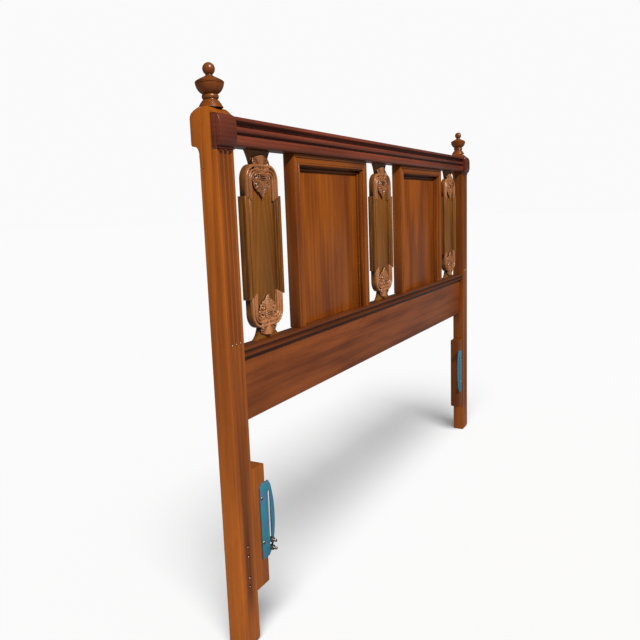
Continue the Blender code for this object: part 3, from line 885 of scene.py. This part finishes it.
def both_sides(points, middle):
    """A closed outline from its right-hand half, listed from bottom to top."""
    return [(middle + x, z) for x, z in points] + [(middle - x, z) for x, z in reversed(points)]


def splat_board(middle):
    """The board: round-cornered ends and a wider middle with sloping steps."""
    flat = END_HALF - CORNER
    half = arc((flat, SPLAT_LOW + CORNER), (CORNER, CORNER), -90, 0, 12)
    half += [(END_HALF, STEP_LOW + STEP_DROP), (MID_HALF, STEP_LOW), (MID_HALF, STEP_HIGH)]
    half += [(END_HALF, STEP_HIGH - STEP_DROP)]
    half += arc((flat, SPLAT_HIGH - CORNER), (CORNER, CORNER), 0, 90, 12)
    return soften(bar(both_sides(half, middle), along_y, SPLAT_FRONT, SPLAT_BACK), 0.0008)


def edging_section():
    """A broad rounded edge and two reeds, as (inset from the edge, depth)."""
    face = [(0.0, EDGING_BACK), (0.0, 0.0142)]
    face += bead((0.0003, 0.0138), (0.0094, 0.0136), -0.0016, 8)
    face += [(0.0100, 0.0178), (0.0106, 0.0186), (0.0120, 0.0186), (0.0125, 0.0178)]
    face += bead((0.0129, 0.0152), (0.0168, 0.0154), -0.0030)
    face += [(0.0172, 0.0180), (0.0178, 0.0188), (0.0190, 0.0188), (0.0195, 0.0182)]
    face += bead((0.0198, 0.0166), (0.0230, 0.0170), -0.0026)
    face += [(0.0234, 0.0190), (EDGING, 0.0194), (EDGING, EDGING_BACK)]
    return face


def edging_shape(middle, hand):
    """One side's edging, with both ends sawn to the slope of the board's steps."""
    outer = middle + hand * MID_HALF
    outline = [(outer - hand * inset, depth) for inset, depth in edging_section()]
    shape = bar(outline, along_z, STEP_LOW - SPARE_LENGTH, STEP_HIGH + SPARE_LENGTH)
    for height, up in ((STEP_HIGH, 1.0), (STEP_LOW, -1.0)):
        shape = sawn(shape, (outer, 0.0, height), (-hand * STEP_SLOPE, 0.0, up))
    return soften(shape, 0.0004)


def neck_shape(middle, end):
    """The flared piece between a splat's end and the rail or the ledge."""
    if end > 0:
        tip, rail = SPLAT_HIGH, RAIL_UNDERSIDE
        half = [(0.0270, tip), (0.0300, tip + 0.008), (0.0345, tip + 0.017)]
        half += [(0.0400, rail - 0.003), (0.0425, rail)]
    else:
        tip, rail = SPLAT_LOW, LEDGE_TOP
        half = [(0.0270, tip), (0.0295, tip - 0.007), (0.0345, tip - 0.015)]
        half += [(0.0410, tip - 0.021), (0.0470, rail)]
        half.reverse()
    clear = [(x, min(max(z, PANEL_LOW), FRAME_TOP)) for x, z in half]
    return soften(bar(both_sides(clear, middle), along_y, 0.0200, 0.0300), 0.0008)


def band_section():
    """A rounded edge and two reeds that follow the arched end, as (inset from the edge, depth)."""
    face = [(0.0, EDGING_BACK), (0.0, 0.0152)]
    face += bead((0.0003, 0.0146), (0.0060, 0.0146), -0.0020)
    face += [(0.0064, 0.0178), (0.0070, 0.0188), (0.0084, 0.0188), (0.0089, 0.0180)]
    face += bead((0.0092, 0.0156), (0.0132, 0.0156), -0.0030)
    face += [(0.0136, 0.0180), (0.0142, 0.0190), (0.0154, 0.0190), (0.0158, 0.0182)]
    face += bead((0.0161, 0.0164), (0.0200, 0.0166), -0.0030)
    face += [(0.0204, 0.0188), (0.0220, 0.0194), (0.0220, EDGING_BACK)]
    return face


def band_shape(middle, end):
    """The reeded band round one arched end; it stops where the edgings begin."""
    tip = SPLAT_HIGH if end > 0 else SPLAT_LOW
    root = (STEP_HIGH - STEP_DROP if end > 0 else STEP_LOW + STEP_DROP) + end * 0.0012
    flat = END_HALF - CORNER
    bend = arc((flat, 0.0), (CORNER, CORNER), 0, 90, 12)
    right = [(END_HALF, root)] + [(x, tip - end * CORNER + end * z) for x, z in bend]
    path = [(middle - x, z) for x, z in right] + [(middle + x, z) for x, z in reversed(right)]
    section = [(end * inset, depth) for inset, depth in band_section()]
    return soften(sweep(path, section, lean=-STEP_SLOPE), 0.0003)


print(f"splats: {SPLAT_HIGH - SPLAT_LOW:.3f} m tall between their necks")

# %% [markdown]
# The carved shield is a relief with a lobed outline. The crest is a fan of leaves, scrolls curl on both
# flanks, bars cross the middle and the foot is one long leaf.
# It could be sculpted by hand. Here a flat grid is bent to the outline, and a height is worked out for
# each point from rings, waves and ridges, so the six shields come from one rule.


# %% The carved shield
SHIELD_LENGTH = 0.0850
SHIELD_FOOT = 0.9155
SHIELD_COLUMNS, SHIELD_ROWS = 84, 150
# How far apart the heights are compared to tell a hollow from a high point.
HOLLOW_REACH = 0.0012
# Distance up from the foot, and half the width there.
SHIELD_HALF_WIDTHS = (
    (0.000, 0.0010),
    (0.004, 0.0045),
    (0.009, 0.0090),
    (0.015, 0.0200),
    (0.021, 0.0275),
    (0.028, 0.0305),
    (0.036, 0.0330),
    (0.044, 0.0320),
    (0.052, 0.0300),
    (0.058, 0.0275),
    (0.064, 0.0290),
    (0.072, 0.0310),
    (0.078, 0.0290),
    (0.082, 0.0210),
    (0.0845, 0.0100),
    (0.0850, 0.0040),
)


def half_width(v):
    """Half the shield's width at a distance from its foot, smoothed between the listed widths."""
    for (v0, w0), (v1, w1) in zip(SHIELD_HALF_WIDTHS, SHIELD_HALF_WIDTHS[1:]):
        if v <= v1:
            t = (v - v0) / (v1 - v0)
            return w0 + (w1 - w0) * t * t * (3 - 2 * t)
    return SHIELD_HALF_WIDTHS[-1][1]


def ridge(distance, width):
    """1 on a line, falling smoothly to 0 at a distance from it."""
    t = min(1.0, abs(distance) / width)
    return (1 - t * t) ** 2


def relief(u, v):
    """Height of the carving in millimetres, at u across from its middle and v up from its foot in metres."""
    width = half_width(v)
    edge = abs(u) / width
    height = 3.2 + 3.4 * math.sqrt(max(0.0, 1 - edge * edge))
    mm_u, mm_v = abs(u) * 1000, v * 1000
    fan = math.hypot(mm_u, mm_v - 50)
    angle = math.atan2(mm_u, mm_v - 50)
    if mm_v > 50:
        leaf = math.cos(angle * 5.2) * min(1.0, (fan - 4) / 12) if fan > 4 else 0.0
        height += 2.1 * leaf + 1.0 * ridge(fan - 14, 3)
    for centre_u, centre_v, radius in ((23.0, 44.0, 8.0), (21.0, 26.0, 7.0), (25.0, 67.0, 6.0)):
        reach = math.hypot(mm_u - centre_u, mm_v - centre_v)
        if reach < radius * 1.4:
            turn = math.atan2(mm_v - centre_v, mm_u - centre_u)
            coil = math.sin(reach / radius * 7.0 - turn)
            height += 2.0 * coil * ridge(reach, radius * 1.4)
            height -= 3.0 * ridge(reach, 2.0)
    if 17 < mm_v < 52 and mm_u < 16:
        plaque = min(1.0, (16 - mm_u) / 3) * min(1.0, (mm_v - 17) / 4) * min(1.0, (52 - mm_v) / 3)
        height += 1.3 * plaque
        for bar_v in (36.0, 40.5, 45.0):
            height += 1.7 * ridge(mm_v - bar_v - 0.02 * mm_u * mm_u, 1.6) * (1 if mm_u < 12 else 0.4)
        height -= 2.4 * ridge(mm_u - 13.0, 1.8) * plaque
    if mm_v < 34:
        height += 1.2 * ridge(mm_u, 2.4)
        height -= 1.2 * ridge((mm_u - 3.2 - (mm_v % 7.0) * 0.9), 1.2) * (1 if mm_v < 28 else 0.3)
    rim = 1.0 * ridge(edge - 0.93, 0.09)
    height += rim * (0.6 + 0.4 * math.cos(mm_v * 1.1))
    return max(height, 1.2)


def hollow_of_relief(u, v):
    """How deep a point of the carving lies, below its surroundings and below the high points."""
    height = relief(u, v)
    around = 0.0
    for du, dv in ((HOLLOW_REACH, 0), (-HOLLOW_REACH, 0), (0, HOLLOW_REACH), (0, -HOLLOW_REACH)):
        around += relief(u + du, min(max(v + dv, 0.0), SHIELD_LENGTH)) / 4
    # Deeper points get more painted shade, and the high points keep the pale colour as a painted highlight.
    return min(1.0, max(0.0, 0.16 + (around - height) * 5.0 + (5.4 - height) * 0.24))


def shield_shape(middle, end):
    """A grid bent to the shield's outline and raised to its relief, with walls down to a flat back."""
    shape = bmesh.new()
    bmesh.ops.create_grid(shape, x_segments=SHIELD_COLUMNS, y_segments=SHIELD_ROWS, size=1.0)
    foot = SHIELD_FOOT if end > 0 else SPLAT_LOW + SPLAT_HIGH - SHIELD_FOOT
    hollows = []
    for vertex in shape.verts:
        v = SHIELD_LENGTH * (vertex.co.y + 1) / 2
        u = half_width(v) * math.sin(vertex.co.x * math.pi / 2)
        hollows.append(hollow_of_relief(u, v))
        vertex.co = (middle + u, behind(SPLAT_FRONT) - relief(u, v) / 1000, foot + end * v)
    rim = [edge for edge in shape.edges if edge.is_boundary]
    walls = bmesh.ops.extrude_edge_only(shape, edges=rim)
    # The walls down to the flat back get heavy painted shade.
    for vertex in only(bmesh.types.BMVert, walls["geom"]):
        vertex.co.y = behind(EDGING_BACK)
        hollows.append(0.8)
    back = [edge for edge in shape.edges if edge.is_boundary]
    bmesh.ops.contextual_create(shape, geom=back)
    bmesh.ops.recalc_face_normals(shape, faces=shape.faces)
    return shape, hollows


def carving_pieces(middle, word, end, end_word):
    """The band and the shield that together stand for one carving."""
    node = f"{word}_splat_{end_word}_carving"
    dress(node, band_shape(middle, end), "carving_wood")
    shield, hollows = shield_shape(middle, end)
    finish_piece(node + "_shield", shield, "carving_wood", (node,), hollows=hollows)


print(f"shield: {SHIELD_LENGTH * 1000:.0f} mm long, {relief(0.0, 0.04):.1f} mm thick at its middle")

# %% Fit the splats
for position, word in ((-1, "left"), (0, "middle"), (1, "right")):
    middle = position * SPLAT_CENTRE
    dress(f"{word}_splat_board", splat_board(middle), "splat_wood", centred=True)
    for hand, hand_word in SIDES:
        dress(f"{word}_splat_{hand_word}_edging", edging_shape(middle, hand), "splat_wood")
    for end, end_word in ((1, "upper"), (-1, "lower")):
        dress(f"{word}_splat_{end_word}_neck", neck_shape(middle, end), "splat_wood")
        carving_pieces(middle, word, end, end_word)
print("splats: three, with two carved shields each")

# %% [markdown]
# ## Brackets
#
# A block beside each post carries a painted steel plate. A bed rail's bolts pass through the slot
# in the plate's free edge, and two bolts are still in the left one.
# The plate is stamped, so it is an outline with a slot cut through. A screw's head is spun, and its
# recess is carved as two crossing cuts.

# %% Bracket blocks and plates
BRACKET_LOW, BRACKET_HIGH = 0.166, 0.332
BLOCK_WIDTH = 0.049
PLATE_DEPTHS = (-0.0013, 0.0017)
SLOT_OUT = BLOCK_WIDTH + 0.0087
SLOT_LOW, SLOT_HIGH, SLOT_RADIUS = 0.174, 0.309, 0.00425
BLOCK_EXTRA_STAIN = 0.25
SCREW_HEIGHTS = (0.203, 0.301)
SCREW_OUT = 0.0305
RECESS_HALF_LENGTH, RECESS_HALF_WIDTH = 0.0021, 0.00035


def capsule(x, low, high, radius, depths):
    """A flat bar with round ends, standing upright."""
    outline = arc((x, high - radius), (radius, radius), 0, 180, 12)
    outline += arc((x, low + radius), (radius, radius), 180, 360, 12)
    return bar(outline, along_y, *depths)


def bracket_plate(side):
    """The slotted plate: straight where it is screwed on, bowed at its free edge."""
    outline = [(0.0255, BRACKET_LOW), (0.0500, BRACKET_LOW)]
    for step in range(17):
        height = 0.184 + (0.320 - 0.184) * step / 16
        outline.append((0.0754 - 2.2 * (height - 0.250) ** 2, height))
    outline += [(0.0560, BRACKET_HIGH), (0.0350, BRACKET_HIGH), (0.0255, BRACKET_HIGH - 0.007)]
    placed = [(side * (POST_INNER - out), z) for out, z in outline]
    plate = bar(placed, along_y, *PLATE_DEPTHS)
    slot = capsule(side * (POST_INNER - SLOT_OUT), SLOT_LOW, SLOT_HIGH, SLOT_RADIUS, (-0.01, 0.01))
    return soften(carve(plate, [slot]), 0.0005)


def screw_shape(x, z):
    """A round-headed screw with a crossed recess."""
    head = [(0.0, 0.0016), (0.0012, 0.00157), (0.0024, 0.0014), (0.0034, 0.0009), (0.0040, 0.0001)]
    head += [(0.0040, 0.0), (0.0019, 0.0), (0.0019, -0.006), (0.0, -0.006)]
    screw = turned(head, 32)
    across = (-RECESS_HALF_WIDTH - FRONT_Y, RECESS_HALF_WIDTH - FRONT_Y)
    for turn in (20, 110):
        recess = block((-RECESS_HALF_LENGTH, RECESS_HALF_LENGTH), across, (0.0006, 0.004))
        screw = carve(screw, [moved(recess, Matrix.Rotation(math.radians(turn), 4, "Z"))])
    return moved(screw, towards_front(x, PLATE_DEPTHS[0] - 2 * HALF_GAP, z))


for side, word in SIDES:
    low, high = sorted((side * (POST_INNER - 2 * HALF_GAP), side * (POST_INNER - BLOCK_WIDTH)))
    wood_block = soften(block((low, high), (0.002, 0.036), (0.107, 0.3715)), 0.0022, segments=3)
    dress(word + "_bracket_block", wood_block, "post_wood", stain=POST_STAIN[side] + BLOCK_EXTRA_STAIN)
    dress(word + "_bracket_plate", bracket_plate(side), "bracket_paint")
    for number, height in enumerate(SCREW_HEIGHTS):
        screw = screw_shape(side * (POST_INNER - SCREW_OUT), height)
        dress(f"{word}_plate_screw_{number + 1}", screw, "screw_steel")
print("brackets: two, each with two screws")


# %% [markdown]
# ## Bolts and nuts
#
# Two quarter-inch machine bolts, with twenty threads to the inch, stand in the left slot with their nuts on.
# A thread could be a bump in the material, but it shows at the bolt's edge, so it is worked into the shank.


# %% Bolts and nuts
HEX_RADIUS = 0.0064
BOLT_RADIUS = 0.003175
BOLT_TIP = -0.0150
THREAD_PITCH = 0.00127
THREAD_DEPTH = 0.0004
ROWS_PER_THREAD = 6
END_ROUNDING = 0.0012


def hexagon(low, high):
    """A six-sided head or nut, with its edges eased."""
    shape = bmesh.new()
    bmesh.ops.create_cone(
        shape,
        cap_ends=True,
        cap_tris=False,
        segments=6,
        radius1=HEX_RADIUS,
        radius2=HEX_RADIUS,
        depth=high - low,
    )
    return soften(moved(shape, Matrix.Translation((0.0, 0.0, (low + high) / 2))), 0.0005)


def threaded(low, high, steps=24):
    """A shank whose radius rises and falls along a helix, its far end rounded off."""
    rows = int((high - low) / THREAD_PITCH * ROWS_PER_THREAD)
    shape = bmesh.new()
    rings = []
    for row in range(rows + 1):
        z = low + (high - low) * row / rows
        short_of_end = min(1.0, (high - z) / END_ROUNDING)
        ease = 0.72 + 0.28 * math.sqrt(max(0.0, 1 - (1 - short_of_end) ** 2))
        ring = []
        for step in range(steps):
            turn = step / steps
            wave = abs(((z / THREAD_PITCH - turn) % 1.0) * 2 - 1)
            radius = (BOLT_RADIUS - THREAD_DEPTH * wave) * ease
            place = (radius * math.cos(turn * math.tau), radius * math.sin(turn * math.tau), z)
            ring.append(shape.verts.new(place))
        rings.append(ring)
    return capped(shape, rings)


slot_x = -(POST_INNER - SLOT_OUT)
head_front = PLATE_DEPTHS[1] + 2 * HALF_GAP
for number, height in enumerate((0.180, 0.1975)):
    bolt = joined([hexagon(-0.004, 0.0), threaded(-0.0005, head_front - BOLT_TIP)])
    bolt = moved(bolt, towards_front(slot_x, head_front, height))
    dress(f"left_bracket_bolt_{number + 1}", bolt, "screw_steel", body="left_bolt_pair")
    bore_radius = BOLT_RADIUS + 0.0002
    bore = turned([(0.0, 0.02), (bore_radius, 0.02), (bore_radius, -0.02), (0.0, -0.02)], 24)
    nut = carve(hexagon(0.0, 0.0052), [bore])
    nut = moved(nut, towards_front(slot_x, PLATE_DEPTHS[0] - 2 * HALF_GAP, height))
    dress(f"left_bracket_nut_{number + 1}", nut, "screw_steel", body="left_bolt_pair")
print("bolts: two, with nuts, at the foot of the left slot")

# %% [markdown]
# ## Stage, light and camera
#
# A broad pale floor runs out to a pale backdrop of the same brightness.
# The key light comes from the front left at about the height of an afternoon sun, and a weaker one from
# the left lights the ends. A broad light high above lays the headboard's soft shadow on the floor.
# Large area lights would do as well, but distant ones light both ends of a wide piece alike.


# %% Floor and backdrop
FLOOR_HALF = 60.0
FLOOR_BELOW_FEET = 0.0005
BACKDROP = 0.957
FLOOR_GLOW = 0.10
WHITE = (1.0, 1.0, 1.0, 1.0)


def by_ray(tree, seen, mirrored, lighting):
    """A strength with one value for what the camera sees, one for reflections and one for soft light."""
    rays = add_node(tree, "LightPath")
    glossy = levels(tree, rays.outputs["Is Glossy Ray"], 0.0, 1.0, lighting, mirrored)
    inputs = {0: rays.outputs["Is Camera Ray"], 2: glossy, 3: seen}
    return add_node(tree, "Mix", inputs, data_type="FLOAT").outputs[0]


floor_shape = bmesh.new()
bmesh.ops.create_grid(floor_shape, x_segments=1, y_segments=1, size=FLOOR_HALF)
floor_mesh = bpy.data.meshes.new("floor")
floor_shape.to_mesh(floor_mesh)
floor_shape.free()
floor_material, floor_tree, floor_shader = new_material("pale_floor")
floor_tree.links.new(by_ray(floor_tree, 0.62, 0.10, 0.20), floor_shader.inputs["Base Color"])
floor_shader.inputs["Roughness"].default_value = 1.0
floor_shader.inputs["Specular IOR Level"].default_value = 0.0
floor_shader.inputs["Emission Color"].default_value = WHITE
floor_tree.links.new(by_ray(floor_tree, FLOOR_GLOW, 0.0, 0.0), floor_shader.inputs["Emission Strength"])
floor_mesh.materials.append(floor_material)
floor = bpy.data.objects.new("floor", floor_mesh)
floor.location.z = -FLOOR_BELOW_FEET
bpy.context.scene.collection.objects.link(floor)

world = bpy.data.worlds.new("studio")
bpy.context.scene.world = world
world.use_nodes = True
sky = world.node_tree.nodes["Background"]
world.node_tree.links.new(by_ray(world.node_tree, BACKDROP, 0.05, 0.18), sky.inputs["Strength"])
sky.inputs["Color"].default_value = WHITE
print(f"floor: {2 * FLOOR_HALF:.0f} m square; backdrop strength: {BACKDROP}")


# %% Lights
def sun(name, position, energy, spread, tint, receivers, shines=True):
    """A distant light that shines from a position towards the origin, on the receivers only.

    `spread` is its width in degrees, and `shines` lets it show in reflections.
    """
    data = bpy.data.lights.new(name, "SUN")
    data.energy = energy
    data.angle = math.radians(spread)
    data.color = tint
    light = bpy.data.objects.new(name, data)
    bpy.context.scene.collection.objects.link(light)
    light.location = position
    light.rotation_mode = "QUATERNION"
    light.rotation_quaternion = (-Vector(position)).to_track_quat("-Z", "Y")
    light.light_linking.receiver_collection = receivers
    light.visible_glossy = shines


headboard_pieces = bpy.data.collections.new("lit_by_key")
for thing in bpy.context.scene.objects:
    if thing.type == "MESH" and thing != floor:
        headboard_pieces.objects.link(thing)
floor_only = bpy.data.collections.new("lit_from_above")
floor_only.objects.link(floor)
sun("key", (-0.28, -0.72, 0.66), 4.0, 4.0, (1.0, 0.97, 0.92), headboard_pieces)
sun("side", (-1.0, 0.03, 0.30), 1.25, 12.0, (1.0, 0.96, 0.90), headboard_pieces, shines=False)
sun("overhead", (-0.35, -0.23, 0.77), 4.35, 31.0, (1.0, 1.0, 1.0), floor_only)
print("lights: a key and a side light on the headboard, and an overhead light on the floor")

# %% [markdown]
# ## Camera
#
# The camera stands at the left-hand end, a little in front of the board and near its top.
# Its way forward, right and up are worked out from three angles, and together they make its matrix.

# %% Camera
CAMERA_PLACE = (-1.78638, FRONT_Y - 0.7494, 0.88566)
CAMERA_YAW, CAMERA_PITCH, CAMERA_ROLL = (math.radians(a) for a in (28.824, 9.287, -2.09))
LENS_MM = 37.54

forward = Vector(
    (
        math.cos(CAMERA_YAW) * math.cos(CAMERA_PITCH),
        math.sin(CAMERA_YAW) * math.cos(CAMERA_PITCH),
        -math.sin(CAMERA_PITCH),
    )
)
level_right = Vector((math.sin(CAMERA_YAW), -math.cos(CAMERA_YAW), 0.0))
level_up = level_right.cross(forward)
right = math.cos(CAMERA_ROLL) * level_right + math.sin(CAMERA_ROLL) * level_up
up = -math.sin(CAMERA_ROLL) * level_right + math.cos(CAMERA_ROLL) * level_up
camera_data = bpy.data.cameras.new("camera")
camera_data.sensor_width = 36.0
camera_data.lens = LENS_MM
camera_data.clip_end = 200.0
camera = bpy.data.objects.new("camera", camera_data)
bpy.context.scene.collection.objects.link(camera)
turn = Matrix((right, up, -forward)).transposed().to_4x4()
camera.matrix_world = Matrix.Translation(CAMERA_PLACE) @ turn
bpy.context.scene.camera = camera
bpy.context.scene.view_settings.view_transform = "Standard"
print(f"camera: {LENS_MM} mm lens at {tuple(round(value, 3) for value in CAMERA_PLACE)}")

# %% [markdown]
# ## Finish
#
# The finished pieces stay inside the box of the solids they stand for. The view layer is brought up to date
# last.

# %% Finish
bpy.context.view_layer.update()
